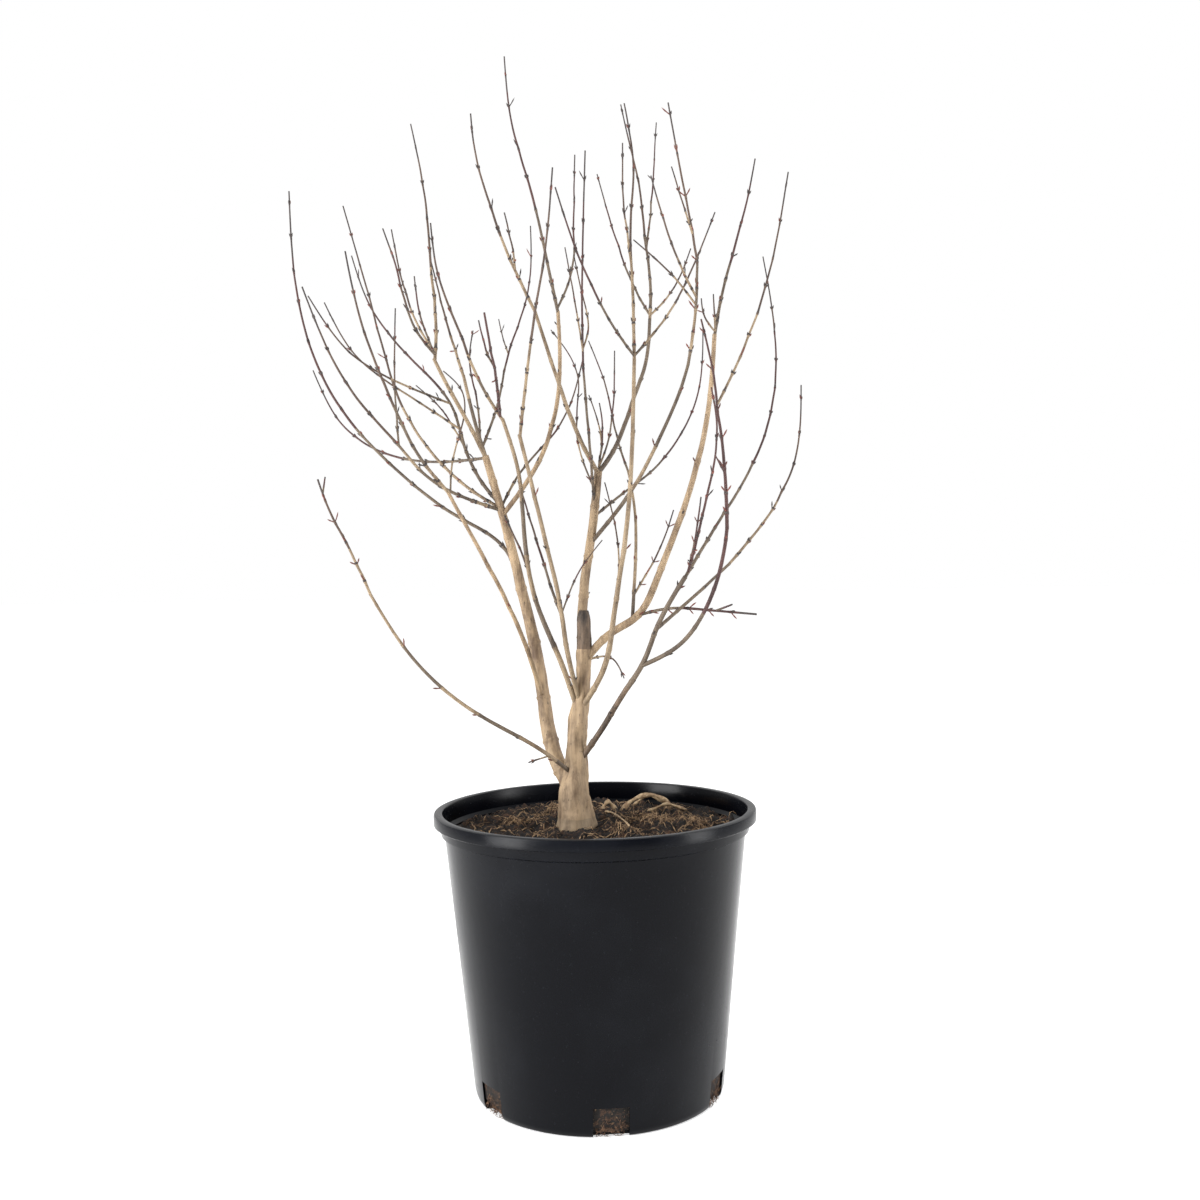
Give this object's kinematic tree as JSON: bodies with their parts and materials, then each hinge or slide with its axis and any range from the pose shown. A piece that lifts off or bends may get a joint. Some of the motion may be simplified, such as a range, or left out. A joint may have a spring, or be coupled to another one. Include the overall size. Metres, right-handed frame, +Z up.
{
  "type": "potted amur maple",
  "caption": "Young leafless amur maple: forked trunk, rising boughs and fine red-brown twigs, in a round black nursery pot filled with soil.",
  "frame": {"origin": "centre of the pot's flat underside", "axes": "+Z up along the pot's axis, -Y towards the side that the picture shows"},
  "size_m": [0.4545, 0.3711, 0.9001],
  "materials": {
    "bark": "pale tan bark with brown shading",
    "grey_bark": "grey-brown bark",
    "shoot": "red-brown young twigs",
    "pot_plastic": "satin black",
    "soil": "dark crumbly potting mix"
  },
  "bodies": {
    "root": {"bough_centre_left": "grey_bark", "bough_centre_right": "grey_bark", "bough_cross": "grey_bark", "bough_dark": "grey_bark", "bough_dark_outer": "grey_bark", "bough_inner_right": "grey_bark", "bough_left_back": "grey_bark", "bough_left_up": "grey_bark", "bough_low_left": "grey_bark", "bough_mid_left": "grey_bark", "bough_mid_right": "grey_bark", "bough_outer_left": "bark", "bough_pale_right": "grey_bark", "bough_right": "bark", "bough_right_back": "grey_bark", "bough_slant": "grey_bark", "leader_right": "bark", "pot": "pot_plastic", "soil": "soil", "spray_back_left": "shoot", "spray_central": "shoot", "spray_centre": "shoot", "spray_cross_top": "shoot", "spray_crossing": "shoot", "spray_crown_left": "shoot", "spray_dark_outer": "shoot", "spray_dark_top": "shoot", "spray_diagonal": "shoot", "spray_far_left": "shoot", "spray_far_right": "shoot", "spray_foot": "shoot", "spray_fork": "shoot", "spray_front_up": "shoot", "spray_hanging": "shoot", "spray_inner_back": "shoot", "spray_inner_top": "shoot", "spray_left_high": "shoot", "spray_left_inner": "shoot", "spray_left_low": "shoot", "spray_left_mid": "shoot", "spray_level": "shoot", "spray_level_left": "shoot", "spray_low_tip": "shoot", "spray_mid_front": "shoot", "spray_mid_inner": "shoot", "spray_mid_low": "shoot", "spray_outer_left": "shoot", "spray_right_back": "shoot", "spray_right_low": "shoot", "spray_right_top": "shoot", "spray_slant": "shoot", "spray_slant_low": "shoot", "spray_thin_back": "shoot", "spray_thin_front": "shoot", "spray_top": "shoot", "stem_left": "bark", "trunk": "bark"}
  },
  "joints": []
}
